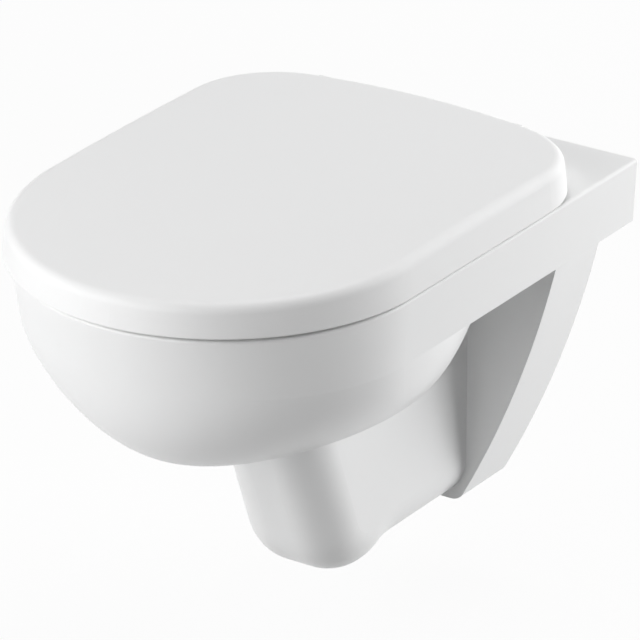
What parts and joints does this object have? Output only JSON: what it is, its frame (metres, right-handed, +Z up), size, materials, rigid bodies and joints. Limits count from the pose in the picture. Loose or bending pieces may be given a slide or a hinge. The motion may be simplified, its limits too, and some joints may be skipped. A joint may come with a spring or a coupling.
{
  "type": "wall hung toilet",
  "caption": "Wall hung toilet: a white china pan with flushing rim, bowl and trap on a narrowing wall flange, under a soft-close seat and a crowned lid that hinge up at the rear.",
  "frame": {"origin": "on the wall plane, midway between the two wall fixing holes", "axes": "+Y into the wall, so the nose of the pan points to -Y; +Z up; +X to the right of someone who faces the wall"},
  "size_m": [0.3646, 0.5418, 0.378],
  "materials": {
    "china": "white glaze, smooth and shiny",
    "thermoset": "white moulded thermoset, satin gloss",
    "white_plastic": "white moulded plastic",
    "grey_plastic": "grey moulded plastic",
    "clear_rubber": "pale soft rubber",
    "dark_rubber": "black rubber",
    "hinge_metal": "chrome plated",
    "steel": "zinc plated steel"
  },
  "bodies": {
    "pan": {"pan_bowl": "china", "pan_back": "china", "inlet_seal": "dark_rubber", "wall_sleeves": "white_plastic", "wall_washers": "steel", "wall_nuts": "steel", "wall_nut_caps": "white_plastic", "hinge_gaskets": "clear_rubber", "hinge_base_plates": "hinge_metal", "hinge_arms": "hinge_metal", "hinge_screws": "steel", "hinge_cones": "dark_rubber", "hinge_washers": "steel", "hinge_wing_nuts": "grey_plastic", "hinge_pins": "steel"},
    "seat": {"seat_ring": "thermoset", "seat_buffers": "clear_rubber", "seat_bush": "grey_plastic", "seat_damper": "grey_plastic"},
    "lid": {"lid_shell": "thermoset", "lid_buffers": "clear_rubber", "lid_bush": "grey_plastic", "lid_damper": "grey_plastic"}
  },
  "joints": [
    {"name": "seat_hinge", "type": "hinge", "parent": "pan", "child": "seat", "pos_m": [0, -0.074, 0.105], "axis": [-1, 0, 0], "range_deg": [0, 93]},
    {"name": "lid_hinge", "type": "hinge", "parent": "seat", "child": "lid", "pos_m": [0, -0.074, 0.105], "axis": [-1, 0, 0], "range_deg": [0, 93]}
  ]
}
